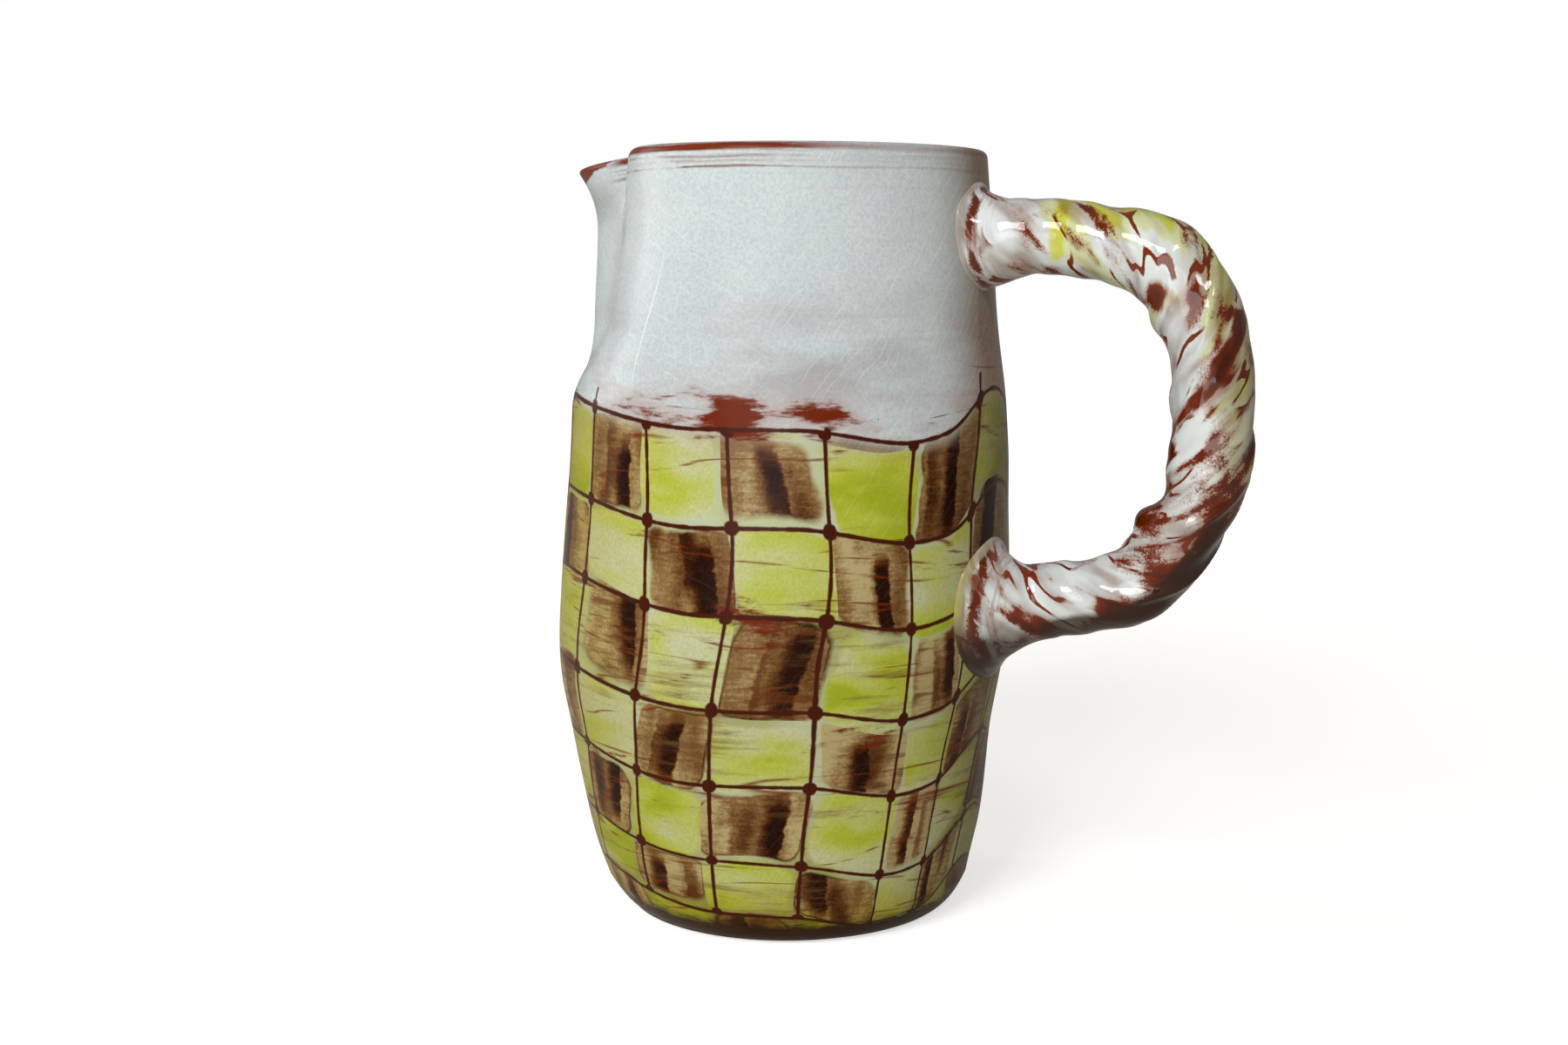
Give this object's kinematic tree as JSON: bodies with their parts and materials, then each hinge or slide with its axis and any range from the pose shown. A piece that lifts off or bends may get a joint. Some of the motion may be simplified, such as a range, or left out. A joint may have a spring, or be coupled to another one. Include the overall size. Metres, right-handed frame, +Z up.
{
  "type": "ceramic jug",
  "caption": "Hand-thrown ceramic jug with a pinched pouring spout, an open mouth and a side loop handle of twisted clay rolls joined to the wall by flared collars.",
  "frame": {"origin": "centre of the flat base on the body's turning axis, on the surface the jug stands on", "axes": "+Z up along the body's turning axis, +X towards the handle, the spout points to -X"},
  "size_m": [0.2136, 0.1392, 0.232],
  "materials": {
    "glazed_body": "white slip with a painted check under a clear crackle glaze",
    "handle_clay": "brushed white slip over red clay under a clear gloss glaze",
    "groove_clay": "white slip under a clear gloss glaze",
    "collar_clay": "wiped white slip over red clay under a clear gloss glaze"
  },
  "bodies": {
    "root": {"thrown_body": "glazed_body", "handle_roll_1": "handle_clay", "handle_roll_2": "handle_clay", "handle_roll_3": "handle_clay", "groove_coil_1": "groove_clay", "groove_coil_2": "groove_clay", "upper_collar": "collar_clay", "lower_collar": "collar_clay"}
  },
  "joints": []
}
